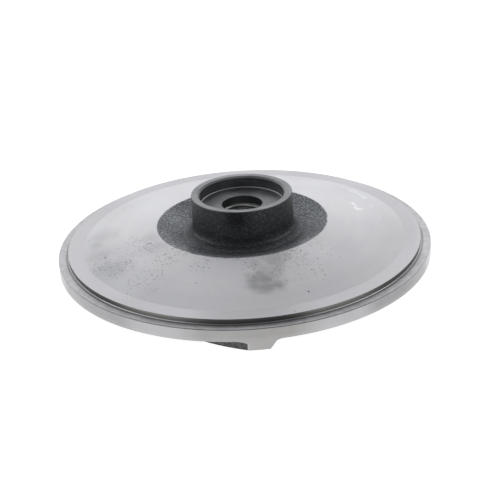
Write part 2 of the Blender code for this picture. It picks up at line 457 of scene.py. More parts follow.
# %% Join and trim
RIM_EDGE_BREAK = 0.3 * MM
above_land = LAND_HEIGHT + TURNING_STOCK
clear_of_hub = HUB_TOP + 2 * TURNING_STOCK
envelope_points = [
    (OUTER_RADIUS - RIM_EDGE_BREAK - TURNING_STOCK, clear_of_hub),
    (OUTER_RADIUS - RIM_EDGE_BREAK - TURNING_STOCK, above_land),
    (OUTER_RADIUS, LAND_HEIGHT - RIM_EDGE_BREAK),
    (OUTER_RADIUS, 0.0),
]
envelope_rows = [(0.0, clear_of_hub, 1)] + rows(envelope_points, MIDDLE) + [(0.0, 0.0, 1)]
envelope = turn_solid("turning_envelope", envelope_rows)
for operation, others in (("UNION", vanes), ("INTERSECT", [envelope])):
    for other in others:
        cut = body.modifiers.new(other.name, "BOOLEAN")
        cut.operation = operation
        cut.solver = "EXACT"
        cut.object = other
evaluated = body.evaluated_get(bpy.context.evaluated_depsgraph_get())
poured = bpy.data.meshes.new_from_object(evaluated)
body.modifiers.clear()
body.data = poured
for helper in vanes + [envelope]:
    bpy.data.objects.remove(helper, do_unlink=True)
print("faces after the cuts:", len(body.data.polygons))

# %% [markdown]
# ## Cut the thread
#
# The wall of the blind bore is a fine net of points, so the thread needs no cutter: each point
# moves outwards by the depth of the groove at its height and its turn round the axis.
# A short chamfer leads the shaft in, and the groove runs out before the bottom of the bore.

# %% Thread
THREAD_PITCH = 2.0 * MM
THREAD_DEPTH = 1.2 * MM
CREST_FLAT = 0.25
FLANK = 0.3125
RUN_OUT_START = 1.5 * MM
RUN_OUT_LENGTH = 2.0 * MM


def groove(turns):
    """Depth of the thread groove, 0 to 1, over one pitch."""
    phase = turns % 1.0
    rising = (phase - CREST_FLAT) / FLANK
    falling = (1.0 - phase) / FLANK
    return min(max(min(rising, falling), 0.0), 1.0)


threaded = 0
for vertex in body.data.vertices:
    x, y, z = vertex.co
    radius = math.hypot(x, y)
    on_wall = abs(radius - THREAD_DRILL_RADIUS) < 0.01 * MM
    if on_wall and BORE_BOTTOM + 0.01 * MM < z < RELIEF_BOTTOM - 0.1 * MM:
        run_out = min(max((z - BORE_BOTTOM - RUN_OUT_START) / RUN_OUT_LENGTH, 0.0), 1.0)
        depth = THREAD_DEPTH * groove(z / THREAD_PITCH - math.atan2(y, x) / math.tau) * run_out
        chamfer = max(z - (RELIEF_BOTTOM - THREAD_DEPTH), 0.0)
        grown = (THREAD_DRILL_RADIUS + max(depth, chamfer)) / radius
        vertex.co = (x * grown, y * grown, z)
        threaded += 1
print("points moved for the thread:", threaded)

# %% [markdown]
# ## The skin of the mould
#
# Sand leaves a skin of small lumps, a millimetre or so across and about a tenth deep.
# A bump texture alone would leave every outline and the line between rough and bright perfectly
# smooth, so here the lumps are real shape: noise at three sizes moves the points of the dish,
# the side of the hub, the underside and the flanks of the vanes.

# %% Grain of the skin
# size and height of the lumps in millimetres, and a shift that keeps the patterns apart
GRAINS = [
    (5.0, 0.12, Vector((0.0, 0.0, 0.0))),
    (1.7, 0.22, Vector((31.0, 7.0, 3.0))),
    (0.9, 0.10, Vector((5.0, 47.0, 9.0))),
]


def skin_grain(place):
    """Height of the sand grain at a place, in millimetres, about -0.3 to 0.3."""
    spot = Vector(place) / MM
    return sum(noise.noise(spot / size + shift) * height for size, height, shift in GRAINS)


def smooth_step(low, high, value):
    """Rise smoothly from 0 at low to 1 at high."""
    share = min(max((value - low) / (high - low), 0.0), 1.0)
    return share * share * (3.0 - 2.0 * share)


samples = [round(skin_grain((0.05, y, 0.02)), 3) for y in (0.0, 0.002, 0.004)]
print("grain at three places:", samples)

# %% [markdown]
# ## Where the tool just grazed the skin
#
# The lathe cuts the cone about its own axis, but the mould had shifted, so the rough dish sits a
# millimetre to one side.  Whatever skin lies above the cone is cut away, and whatever lies below
# it stays dark.  Near the dish, on the left and towards the front right, so little was cut that
# the deepest pits are still there: they show as dark specks on the bright cone.

# %% Cut the cone through the skin
DISH_SHIFT = -1.3 * MM
SKIN_CREST_RADIUS = 57.0 * MM
FULL_STOCK = 0.9
HUB_SIDE_GRAIN = 0.6
# x, y and reach in millimetres, and the least stock that was cut in the middle of the spot
grazed_spots = [
    (-60.0, -22.0, 15.0, 0.17), (-50.0, -36.0, 12.0, 0.16), (-30.0, -56.0, 12.0, 0.19),
    (0.0, -62.0, 10.0, 0.20), (29.0, -53.0, 12.0, 0.15), (34.0, -58.0, 9.0, 0.17),
    (-70.0, -30.0, 9.0, 0.21),
]


def stock_left(x, y):
    """Millimetres that the tool took off above the skin, at a place outside the dish."""
    stock = FULL_STOCK
    for spot_x, spot_y, reach_mm, least in grazed_spots:
        distance = math.hypot(x / MM - spot_x, y / MM - spot_y)
        near = 1.0 - smooth_step(0.35 * reach_mm, reach_mm, distance)
        stock = min(stock, FULL_STOCK + (least - FULL_STOCK) * near)
    return stock


def cone_height(radius):
    """Height of the turned cone at a distance from the axis."""
    return CREST_HEIGHT - (radius - CREST_RADIUS) * CONE_SLOPE


def skin_below_cone(x, y, z):
    """How far the rough skin lies below the turned cone, in millimetres; negative is above it."""
    radius = math.hypot(x, y)
    shifted = math.hypot(x - DISH_SHIFT, y)
    rise = ((shifted - SKIN_CREST_RADIUS) * DISH_SLOPE + (radius - CREST_RADIUS) * CONE_SLOPE) / MM
    in_front = smooth_step(15.0, 45.0, -y / MM)
    grain_share = max(in_front, 0.35 + 0.65 * smooth_step(0.1, 0.9, abs(rise)))
    return -min(rise, stock_left(x, y)) - skin_grain((x, y, z)) * grain_share


grained = bmesh.new()
grained.from_mesh(body.data)
grained.normal_update()
moved = 0
for vertex in grained.verts:
    x, y, z = vertex.co
    radius = math.hypot(x, y)
    if z < LAND_HEIGHT + 1.0 * MM or radius < HUB_RADIUS - 0.05 * MM or radius > NEAR_CONE_RADIUS:
        continue
    if radius > hub_fillet[-1][0] + 0.1 * MM:
        below = skin_below_cone(x, y, z)
        vertex.co.z = cone_height(radius) - max(below, 0.0) * MM
    elif z < HUB_TOP - SMALL_ROUND - 0.05 * MM:
        from_edge = smooth_step(0.0, 1.5, (HUB_TOP - SMALL_ROUND - z) / MM)
        vertex.co += vertex.normal * skin_grain(vertex.co) * from_edge * HUB_SIDE_GRAIN * MM
    moved += 1
print("points of the hub and the dish that were moved:", moved)

# %% [markdown]
# ## Sand holes in the turned cone
#
# Some grains of sand sit deeper than the cut, and each leaves a dark hole in the bright cone.
# They can't come from a cutter per hole without a slow chain of Booleans, so the few faces round
# each hole are divided until they are fine enough, and their points are pushed down.

# %% Sand holes
HOLE_FACE = 0.4 * MM
HOLE_DEPTH = 0.7
RAGGEDNESS = 0.35
RAGGED_SIZE = 0.6 * MM
# x, y and radius in millimetres
sand_holes = [
    (-90.3, -29.4, 0.75), (-92.3, -43.7, 0.70), (-94.0, -40.5, 0.45), (-88.8, -45.6, 0.50),
    (-73.0, -40.8, 0.65), (-76.2, -41.9, 0.45), (-78.8, -50.3, 0.50), (-85.0, -53.7, 0.50),
    (-67.9, -17.1, 0.50), (-60.8, -24.6, 0.70), (-63.8, -29.7, 0.60), (-59.6, -27.0, 0.45),
    (36.9, -91.4, 0.75), (28.8, -50.4, 0.45), (25.3, -55.8, 0.45), (35.1, -50.0, 0.45),
    (0.2, -62.1, 0.60), (-30.3, -57.1, 0.50), (53.6, -53.6, 0.45), (48.5, -74.5, 0.50),
    (16.2, -72.8, 0.55),
]
hole_places = [(Vector((x * MM, y * MM)), size * MM) for x, y, size in sand_holes]


def near_hole(place, margin):
    """The hole whose edge lies within a margin of a place, as its middle and its radius."""
    for middle, size in hole_places:
        if (place.xy - middle).length < size + margin:
            return middle, size
    return None


for level in range(5):
    wide = []
    for face in grained.faces:
        centre = face.calc_center_median()
        on_cone = face.normal.z > 0.9 and centre.z > BAND_HEIGHT and centre.xy.length > HUB_RADIUS
        span = max(edge.calc_length() for edge in face.edges)
        if on_cone and span > HOLE_FACE and near_hole(centre, span / 2):
            wide.append(face)
    edges = list({edge for face in wide for edge in face.edges})
    bmesh.ops.subdivide_edges(grained, edges=edges, cuts=1, use_grid_fill=True)
for vertex in grained.verts:
    hole = near_hole(vertex.co, 0.3 * MM) if vertex.co.z > BAND_HEIGHT else None
    if hole and vertex.normal.z > 0.8:
        middle, size = hole
        ragged = size * (1.0 + RAGGEDNESS * noise.noise(Vector(vertex.co) / RAGGED_SIZE))
        share = min((vertex.co.xy - middle).length / ragged, 1.0)
        vertex.co.z -= size * HOLE_DEPTH * (1.0 - share * share) ** 2
grained.normal_update()
print("sand holes:", len(sand_holes), "and faces now:", len(grained.faces))

# %% [markdown]
# ## The underside keeps its skin too
#
# Below the rim only the vane fronts, the vane tips and the rim itself are machined.
# Their points stay where the tools left them, and all others get the same grain of sand.

# %% Rough underside
def middle_of(face):
    """The middle of a face, and its distance from the axis."""
    centre = face.calc_center_median()
    return centre, math.hypot(centre.x, centre.y)


def is_faced(face):
    """True for a face that the machinist cut below the shroud: rim, vane tip or vane front."""
    centre, radius = middle_of(face)
    on_rim = radius > OUTER_RADIUS - 0.35 * MM and abs(face.normal.z) < 0.9
    return on_rim or (centre.z < 0.02 * MM and face.normal.z < -0.9)


def is_under(face):
    """True for a face of the underside, the nose or the vanes."""
    centre, radius = middle_of(face)
    in_bore = radius < THREAD_DRILL_RADIUS + 1.5 * MM and face.normal.z > -0.5
    return centre.z < UNDERSIDE_HEIGHT + 0.1 * MM and face.normal.z < 0.5 and not in_bore


for vertex in grained.verts:
    if vertex.co.z > UNDERSIDE_HEIGHT + 0.2 * MM:
        continue
    faces = vertex.link_faces
    if all(is_under(face) and not is_faced(face) for face in faces):
        vertex.co += vertex.normal * skin_grain(vertex.co) * MM
grained.normal_update()
print("faces under the shroud:", sum(is_under(face) for face in grained.faces))

# %% [markdown]
# ## Which face has which finish
#
# One number per corner of each face says how much of the mould's skin is left there: 0 is bright
# iron and 1 is skin.  It changes at once where a tool stopped at an edge, and it follows the real
# depth of the skin where the cone runs out into the dish.  The materials read it later on.

# %% Finish of each face
TURNED, HUB_FACE, BORED = 0, 1, 2
SHARP_ANGLE = math.radians(35.0)


def finish_of(face):
    """The material slot of a face, and 0 for bright, 1 for rough, or None for the ragged zone."""
    centre, radius = middle_of(face)
    if is_under(face) or is_faced(face):
        return TURNED, 0.0 if is_faced(face) else 1.0
    if radius < HUB_RADIUS - SMALL_ROUND - 0.01 * MM and centre.z > HUB_TOP - 0.02 * MM:
        return HUB_FACE, 0.0
    if radius < COUNTERBORE_RADIUS + MOUTH_CHAMFER:
        return BORED, 0.0
    if radius < hub_fillet[-1][0] + 1.0 * MM:
        return TURNED, 1.0 if centre.z < HUB_TOP - 0.3 * MM else 0.85
    if radius < BAND_INNER_RADIUS - 1.0 * MM:
        return TURNED, None
    return TURNED, 0.0


for slot_index in range(len(body.data.materials), 3):
    body.data.materials.append(None)
skin_layer = grained.loops.layers.float.new("skin")
counts = {TURNED: 0, HUB_FACE: 0, BORED: 0}
for face in grained.faces:
    slot, rough = finish_of(face)
    face.material_index = slot
    face.smooth = True
    counts[slot] += 1
    for loop in face.loops:
        x, y, z = loop.vert.co
        below = (cone_height(math.hypot(x, y)) - z) / MM
        loop[skin_layer] = smooth_step(0.0, 0.07, below) if rough is None else rough
for edge in grained.edges:
    if len(edge.link_faces) == 2:
        first, second = edge.link_faces
        bright = finish_of(first)[1] == 0.0 and finish_of(second)[1] == 0.0
        cut = is_faced(first) != is_faced(second)
        sharp = first.normal.angle(second.normal, 0.0) > SHARP_ANGLE
        edge.smooth = not (cut or bright and sharp)
grained.to_mesh(body.data)
grained.free()
print("faces by finish:", counts)

# %% [markdown]
# ## Materials
#
# One material holds the bright iron and the skin, and two more hold the hub's face and the bores.
# Each tone is worked out from the place of a point on the part: its distance from the axis, its
# height, and where it lies from left to right and from front to back.
# A painted image would have to be unwrapped, and could not be as fine.  A rule of place needs no
# unwrapping, and its tones stay on the part from every side.

# %% Node helpers
def set_inputs(node, inputs):
    """Give a node its inputs: plain values, or links from other nodes."""
    for name, value in inputs.items():
        if isinstance(value, bpy.types.NodeSocket):
            node.id_data.links.new(value, node.inputs[name])
        else:
            node.inputs[name].default_value = value


def add_node(tree, kind, inputs=None, **settings):
    """Add a shader node, with settings, and with its inputs as values or as links."""
    node = tree.nodes.new(kind)
    for name, value in settings.items():
        setattr(node, name, value)
    set_inputs(node, inputs or {})
    return node


def new_material(name):
    """A material, its tree of nodes, and its one shader."""
    material = bpy.data.materials.new(name)
    material.use_nodes = True
    tree = material.node_tree
    return material, tree, tree.nodes["Principled BSDF"]


def place_on_part(tree):
    """The place of each point, counted from the middle of the floor under the part."""
    return add_node(tree, "ShaderNodeTexCoord").outputs["Object"]


# %% Helpers for sums
# Each of these adds its node to the tree of the value that it starts from.
def map_range(value, low, high, to_low=0.0, to_high=1.0):
    """Map a value from one range to another, smoothly and clamped."""
    node = add_node(value.id_data, "ShaderNodeMapRange", interpolation_type="SMOOTHSTEP")
    limits = {"From Min": low, "From Max": high, "To Min": to_low, "To Max": to_high}
    set_inputs(node, {"Value": value, **limits})
    return node.outputs["Result"]


def cloud(place, scale, detail=3.0, roughness=0.55):
    """A noise texture of the place."""
    inputs = {"Vector": place, "Scale": scale, "Detail": detail, "Roughness": roughness}
    return add_node(place.id_data, "ShaderNodeTexNoise", inputs).outputs["Fac"]


def calculate(operation, first, second=0.0):
    """Add, subtract, compare or otherwise combine two values."""
    inputs = {0: first, 1: second}
    return add_node(first.id_data, "ShaderNodeMath", inputs, operation=operation).outputs[0]


def rest_of(share):
    """What a share leaves of the whole."""
    inputs = {0: 1.0, 1: share}
    return add_node(share.id_data, "ShaderNodeMath", inputs, operation="SUBTRACT").outputs[0]


def times(product, *values):
    """The product of several values."""
    for value in values:
        product = calculate("MULTIPLY", product, value)
    return product


def largest(values):
    """The largest of several values."""
    winner = values[0]
    for value in values[1:]:
        winner = calculate("MAXIMUM", winner, value)
    return winner


def calculate_vector(operation, first, second, output="Vector"):
    """Combine two vectors to a vector, or to a number when the output is Value."""
    inputs = {0: first, 1: second}
    node = add_node(first.id_data, "ShaderNodeVectorMath", inputs, operation=operation)
    return node.outputs[output]


# %% Helpers for mixing
def grey(value, blue=0.035, red=0.0):
    """A grey with a touch of blue and of red."""
    return (value * (1.0 + red), value, value * (1.0 + blue), 1.0)


def mix_number(share, first, second):
    """Mix two numbers: no share is the first of them, and a full share is the second."""
    return add_node(share.id_data, "ShaderNodeMix", {0: share, 2: first, 3: second}).outputs[0]


def coat(colour, layers):
    """Lay layers over a colour, one after another, each with its share and its own colour."""
    for share, tint in layers:
        inputs = {0: share, 6: colour, 7: tint}
        colour = add_node(share.id_data, "ShaderNodeMix", inputs, data_type="RGBA").outputs[2]
    return colour


# %% Helpers for places on the part
NO_VECTOR = (0.0, 0.0, 0.0)


def side_depth_height(place):
    """How far a place lies to the right, towards the back, and up."""
    parts = add_node(place.id_data, "ShaderNodeSeparateXYZ", {"Vector": place}).outputs
    return parts["X"], parts["Y"], parts["Z"]


def fade(value, start, end, before=0.0, after=1.0):
    """Pass smoothly from one number to another between two places, given in millimetres."""
    return map_range(value, start * MM, end * MM, before, after)


def turned_rings(place, scale):
    """The place without its height, its distance from the axis, and random rings round it."""
    flat = calculate_vector("MULTIPLY", place, (1.0, 1.0, 0.0))
    radius = calculate_vector("LENGTH", flat, NO_VECTOR, "Value")
    inputs = {"W": radius, "Scale": scale, "Detail": 2.0}
    rings = add_node(place.id_data, "ShaderNodeTexNoise", inputs, noise_dimensions="1D")
    return flat, radius, rings.outputs["Fac"]


def ring_share(radius, middle, half, soft):
    """1 within half a width of a circle round the axis, then fading over a soft edge, in mm."""
    off = calculate("ABSOLUTE", calculate("SUBTRACT", radius, middle * MM))
    return fade(off, half, half + soft, 1.0, 0.0)


def blob(place, x, y, inner, outer):
    """1 within the inner reach of a spot and 0 beyond the outer one, all in millimetres."""
    distance = calculate_vector("DISTANCE", place, (x * MM, y * MM, 0.0), "Value")
    return fade(distance, inner, outer, 1.0, 0.0)


def blobs(place, spots):
    """1 in any of several spots, each of them x, y, inner reach and outer reach."""
    return largest([blob(place, *spot) for spot in spots])


# %% [markdown]
# ## Bright iron
#
# Turned iron is metal with a soft gloss.  Its grey wanders a little in blotches, in broad rings
# from the feed of the lathe, and in fine dust.  One plain grey would do from far away, but this
# near the small changes are what makes it look like iron and not like plastic.

# %% Bright iron
RING_SCALE = 2600.0
BROAD_RING_SCALE = 160.0
BLOTCH_SCALE = 32.0
DUST_SCALE = 900.0
iron, tree, shader = new_material("turned_and_rough_iron")
place = place_on_part(tree)
side_of, depth_of, height_of = side_depth_height(place)
flat, radius, rings = turned_rings(place, RING_SCALE)
broad_rings = turned_rings(place, BROAD_RING_SCALE)[2]
blotches = cloud(place, BLOTCH_SCALE)
dust = cloud(place, DUST_SCALE, 2.0)
bright_layers = [
    (map_range(blotches, 0.3, 0.7), grey(0.56, 0.02, 0.01)),
    (map_range(broad_rings, 0.35, 0.65, 0.0, 0.12), grey(0.45)),
    (map_range(dust, 0.55, 0.75, 0.0, 0.2), grey(0.36)),
]
turned_colour = coat(grey(0.50, 0.045), bright_layers)
print("layers of the bright iron:", len(bright_layers))

# %% [markdown]
# ## The step and the land
#
# The wall of the step is the face of another cut, with a coarser finish, and it is painted much
# darker towards the front, as a painted reflection of the dim side in front.  A painted highlight
# draws the round at its foot as a thin bright line at the sides.  Outside it lies a dark ring that
# is partly dirt and partly a painted reflection of the wall, the land is painted darker in front as
# a painted reflection, and the land beyond is mottled.
# The circles are those of the measures above.  Depth counts from the axis, so -110 lies in front.

# %% Step and land
MOTTLE_SCALE = 260.0
# painted reflection: the wall of the step painted darker towards the front, where it mirrors the
# dim side
painted_wall_reflection = [
    (fade(depth_of, -102.0, -80.0), grey(0.15, -0.055)),
    (fade(depth_of, -116.5, -108.5, 1.0, 0.0), grey(0.09, -0.055)),
]
wall_colour = coat(grey(0.46, -0.055), painted_wall_reflection)
mottle = map_range(cloud(place, MOTTLE_SCALE), 0.35, 0.65)
land_colour = coat(grey(0.45, 0.02), [(mottle, grey(0.56, 0.02))])
outer_cone = times(ring_share(radius, 103.5, 3.6, 20.0), 0.16)
foot_round = ring_share(radius, 117.64, 0.16, 0.08)
# a faint painted highlight on the round at the foot of the step, left out at the very front
faint_painted_highlight = times(foot_round, fade(depth_of, -117.0, -112.0, 0.0, 0.25))
# a dark ring on the land outside the round: partly dirt and partly a painted reflection of the dark
# wall
dirt_and_wall_reflection_ring = times(ring_share(radius, 118.4, 0.35, 0.9), 0.62)
# painted reflection: the land painted darker at the front, where it mirrors the dim side in front
painted_front_reflection = fade(depth_of, -120.0, -114.0, 0.45, 0.0)
painted_front_reflection = times(ring_share(radius, 119.2, 0.9, 2.0), painted_front_reflection)
# painted highlight: the round at the foot of the step drawn as a thin bright line, brightest at the
# front sides
painted_round_highlight = times(
    foot_round,
    fade(depth_of, -90.0, -68.0, 1.0, 0.0),
    fade(depth_of, -115.5, -109.0, 0.05, 1.0),
    fade(side_of, 70.0, 105.0, 1.0, 0.55),
)
step_layers = [
    (outer_cone, grey(0.36)),
    (fade(radius, 106.2, 108.2, 0.0, 0.6), grey(0.53, 0.03, 0.005)),
    (ring_share(radius, 117.37, 0.06, 0.06), wall_colour),
    (fade(radius, 117.85, 118.0, 0.0, 0.8), land_colour),
    (faint_painted_highlight, grey(0.9)),
    (dirt_and_wall_reflection_ring, grey(0.16)),
    (painted_front_reflection, grey(0.16)),
    (painted_round_highlight, grey(0.95)),
]
turned_colour = coat(turned_colour, step_layers)
print("layers of the band, the step and the land:", len(step_layers))

# %% [markdown]
# ## The rim
#
# The rim is a shade darker than the cone, and a little lighter along its lower edge.  Round the
# rim light and shade are painted in: darker at the very front and on the right, lighter towards the
# back.  Where it meets the land, a thin dark line of painted shade lies on its edge break, best
# seen in front.

# %% Rim
# painted light and shade: the rim's grey changes with its place round the axis, darker in front and
# on the right, lighter towards the back
rim_front_painted_share = fade(depth_of, -121.5, -115.0)
rim_front_light_and_shade = coat(grey(0.39, -0.02, 0.02), [(rim_front_painted_share, grey(0.51, 0.03, 0.01))])
rim_light_and_shade_by_side = [
    (fade(side_of, -50.0, 50.0), grey(0.34, 0.02)),
    (fade(depth_of, -75.0, -58.0), grey(0.42, 0.02)),
    (fade(depth_of, -55.0, -40.0), grey(0.57, 0.02)),
]
rim_layers = [
    (fade(depth_of, -106.0, -94.0), coat(grey(0.40, 0.02), rim_light_and_shade_by_side)),
    (fade(height_of, 7.0, 9.5, 0.2, 0.0), grey(0.62, 0.01, 0.01)),
    (fade(height_of, 4.0, 7.0, 1.0, 0.0), grey(0.46, -0.02, 0.02)),
]
# painted shade: a thin dark line on the edge break where the rim meets the land
painted_shade_edge_line = times(
    fade(radius, 123.5, 123.7),
    fade(depth_of, -120.0, -104.0, 0.9, 0.65),
    fade(depth_of, -75.0, -45.0, 1.0, 0.45),
    fade(height_of, 13.55, 13.75),
)
on_rim = fade(radius, 123.85, 123.95, 0.0, 0.85)
rim_colour = coat(rim_front_light_and_shade, rim_layers)
turned_colour = coat(turned_colour, [(on_rim, rim_colour), (painted_shade_edge_line, grey(0.2))])
print("layers of the rim:", len(rim_light_and_shade_by_side) + len(rim_layers))

# %% [markdown]
# ## Painted light and shade
#
# No turned face is one grey all over.  Soft spots paint light and shade on it: the back of the
# cone and a few spots are painted lighter, and a few others are painted darker.  Most are measured
# from a point on the floor, so high surfaces get less of them.  The flat place leaves the height
# out.

# %% Painted light and shade
beside_specks = [(-62.0, -48.0, 3.0, 20.0), (-70.0, -68.0, 5.0, 22.0), (44.0, -50.0, 3.0, 16.0)]
on_land = fade(radius, 112.0, 118.0)
off_land = rest_of(on_land)
# painted light: the back of the cone and a few spots painted lighter
painted_light_places = [
    fade(depth_of, 55.0, 90.0, 0.0, 0.22),
    times(blob(place, 48.0, 84.0, 6.0, 30.0), 0.4),
    times(blob(place, -22.0, -80.0, 15.0, 55.0), 0.13),
    times(blobs(flat, beside_specks), 0.1),
    times(blob(place, 114.0, -28.0, 3.0, 24.0), 0.18, on_land),
]
# painted shade: a few spots painted darker
painted_shade_places = [
    times(blob(place, 110.0, -12.0, 10.0, 48.0), 0.25, off_land),
    times(blob(place, -96.0, -8.0, 5.0, 35.0), 0.12),
]
place_layers = [(largest(painted_light_places), grey(0.85)), (largest(painted_shade_places), grey(0.34))]
turned_colour = coat(turned_colour, place_layers)
print("light places:", len(painted_light_places), "and dull ones:", len(painted_shade_places))

# %% [markdown]
# ## Specks
#
# The specks are sand holes too small to model.  Each cell of a Voronoi pattern may hold one, and
# the cell's random colour says whether it does, and how large.  Soft zones set how many do: most
# of them lie where the tool just grazed the skin.  A wobble makes the zones uneven, and a fine
# noise adds pepper between the specks.

# %% Specks
WOBBLE_SCALE = 110.0
WOBBLE_REACH = 0.012
SPECK_SCALE = 620.0
PEPPER_SCALE = 760.0
SPECK_SHARE = 0.6
FAINT_SHARE = 0.4
wobble_inputs = {"Vector": place, "Scale": WOBBLE_SCALE, "Detail": 3.0}
wobble = add_node(tree, "ShaderNodeTexNoise", wobble_inputs)
wobble = calculate_vector("SUBTRACT", wobble.outputs["Color"], (0.5, 0.5, 0.5))
wobble = calculate_vector("MULTIPLY", wobble, (WOBBLE_REACH, WOBBLE_REACH, 0.0))
moved_place = calculate_vector("ADD", flat, wobble)
# x, y, inner reach and outer reach of each zone, in millimetres
speck_zones = [
    (-91.0, -40.0, 2.0, 13.0), (-78.0, -46.0, 2.0, 15.0), (-64.0, -26.0, 3.0, 16.0),
    (-74.0, -14.0, 1.0, 10.0), (-48.0, -46.0, 2.0, 14.0), (-28.0, -60.0, 1.0, 12.0),
    (30.0, -56.0, 4.0, 15.0), (45.0, -42.0, 1.0, 10.0), (4.0, -64.0, 1.0, 9.0),
    (21.0, -69.0, 1.0, 11.0),
]
faint_zones = [(-62.0, -68.0, 5.0, 28.0), (38.0, -70.0, 5.0, 24.0), (-80.0, -30.0, 5.0, 30.0)]
near_dish = blob(moved_place, DISH_SHIFT / MM, 0.0, 57.5, 62.0)
near_dish = times(near_dish, fade(depth_of, -45.0, -15.0, 0.8, 0.0))
faint = times(blobs(moved_place, faint_zones), FAINT_SHARE)
zone = largest([near_dish, blobs(moved_place, speck_zones), faint])
cells = add_node(tree, "ShaderNodeTexVoronoi", {"Vector": place, "Scale": SPECK_SCALE})
chance = add_node(tree, "ShaderNodeSeparateColor", {"Color": cells.outputs["Color"]}).outputs
allowed = map_range(zone, 0.0, 1.0, 0.007, 0.7)
speck_reach = map_range(chance["Green"], 0.0, 1.0, 0.10, 0.38)
has_speck = calculate("LESS_THAN", chance["Red"], allowed)
inside = calculate("LESS_THAN", cells.outputs["Distance"], speck_reach)
pepper = map_range(cloud(place, PEPPER_SCALE, 1.0), 0.60, 0.68)
pepper = times(pepper, map_range(zone, 0.0, 0.8, 0.06, 0.62))
speck_layers = [(times(has_speck, inside, SPECK_SHARE), grey(0.18)), (pepper, grey(0.22))]
turned_colour = coat(turned_colour, speck_layers)
print("zones of specks:", len(speck_zones) + len(faint_zones))

# %% [markdown]
# ## Stains and scuffs
#
# An oily finger mark lies in front of the dish, and thinner ones on the left and at the dish's
# edge.  At the back on the right a few pale scuffs catch the light.  Both could be painted on an
# image; here each mark is a few soft spots or short straight strokes with uneven edges.

# %% Stains
OIL = (0.085, 0.09, 0.085, 1.0)
# x, y, inner reach and outer reach in millimetres, and how much the oil covers
stains = [
    (5.0, -80.0, 1.0, 11.0, 0.47), (8.5, -75.0, 1.0, 8.5, 0.42),
    (10.5, -78.5, 1.0, 10.0, 0.52), (12.5, -86.5, 1.0, 9.5, 0.48),
    (7.0, -86.5, 1.0, 9.0, 0.44), (18.0, -84.5, 1.0, 10.0, 0.48),
    (20.0, -87.0, 1.0, 8.0, 0.30), (18.5, -61.0, 1.0, 10.0, 0.30),
    (6.0, -64.0, 1.0, 6.5, 0.14), (25.0, -57.5, 1.0, 8.0, 0.20),
    (11.5, -69.5, 1.0, 7.0, 0.22), (15.5, -76.0, 1.0, 10.0, 0.32),
    (18.5, -69.0, 0.5, 9.0, 0.24), (-94.0, 4.0, 3.0, 16.0, 0.14),
    (-97.6, -8.8, 1.0, 9.0, 0.20), (-94.5, -25.0, 2.0, 14.0, 0.17),
    (-86.0, -46.0, 2.0, 16.0, 0.15), (-55.0, -31.0, 1.0, 10.0, 0.13),
    (-61.0, -15.0, 1.0, 10.0, 0.13),
]
oily = [times(blob(moved_place, *spot), cover) for *spot, cover in stains]
turned_colour = coat(turned_colour, [(largest(oily), OIL)])
print("stains:", len(stains))

# %% Scuffs
SCRATCH_SCALE = 420.0


def streak(place, start, end, width):
    """1 along a straight scuff, fading to 0 at its width, all in millimetres."""
    along = Vector((end[0] - start[0], end[1] - start[1], 0.0)) * MM
    offset = calculate_vector("SUBTRACT", place, (start[0] * MM, start[1] * MM, 0.0))
    share = calculate_vector("DOT_PRODUCT", offset, along / along.length_squared, "Value")
    share = map_range(share, 0.0, 1.0)
    inputs = {0: along, "Scale": share}
    nearest = add_node(share.id_data, "ShaderNodeVectorMath", inputs, operation="SCALE")
    distance = calculate_vector("DISTANCE", offset, nearest.outputs["Vector"], "Value")
    return fade(distance, 0.2 * width, width, 1.0, 0.0)


# start, end and width in millimetres, and how bright the scuff is
scuffs = [
    ((75.6, 31.5), (78.0, 20.0), 2.2, 0.7),
    ((78.0, 20.0), (81.0, 21.0), 2.0, 0.7),
    ((86.0, 50.0), (92.5, 8.5), 2.0, 0.35),
    ((80.0, 62.0), (87.0, 46.0), 4.0, 0.3),
]
scuffed = [times(streak(moved_place, *stroke), cover) for *stroke, cover in scuffs]
scratch = map_range(cloud(place, SCRATCH_SCALE, 2.0), 0.35, 0.6, 0.4, 1.0)
scuffed = times(largest(scuffed), scratch)
turned_colour = coat(turned_colour, [(scuffed, grey(0.85))])
print("scuffs:", len(scuffs))

# %% [markdown]
# ## The colour of the skin
#
# The skin of the mould is dark iron oxide with bright grains.  Light and shade are painted into it:
# the grains are painted brightest in the dish, which faces the light, and in lit spots of it, and
# dimmest on the side of the hub, where a soft dark stripe of painted shade runs down in front.
# Painted shade darkens the crook at the hub's foot, and painted light lifts the root of the hub.
# Two colours, one for the bright grains and one for the dark ground between them, pass through the
# same places, and fine noise picks one of them.

# %% Skin of the mould
SAND_SCALE = 1000.0
# two darker spots on the skin beside the hub
dark_spots_beside_hub = [(41.0, -20.0, 5.0, 22.0), (-41.0, -9.0, 3.0, 13.0)]
in_front = fade(depth_of, -36.0, -12.0, 1.0, 0.0)
# painted shade: a dark ring round the hub's foot
painted_foot_shade = times(ring_share(radius, 36.0, 1.0, 8.0), 0.4)
# painted light: the grains of the dish, which faces the light, painted brighter than those on the
# side of the hub
dish_painted_light = times(fade(radius, 35.8, 40.0), rest_of(painted_foot_shade))
# painted light: the low part of the hub's side painted lighter over its front half, less at the
# very front
painted_light_at_root = times(
    fade(height_of, 24.5, 31.0, 1.0, 0.0),
    fade(radius, 34.2, 34.8, 1.0, 0.0),
    fade(depth_of, -18.0, 2.0, 1.0, 0.0),
    fade(depth_of, -33.5, -26.0, 0.45, 1.0),
)
# painted shade in the crook at the hub's foot, in front and strongest on the left
crook_left = fade(side_of, -19.0, -9.0, 0.6, 0.3)
painted_crook_shade = times(ring_share(radius, 35.2, 0.6, 1.0), in_front, crook_left)
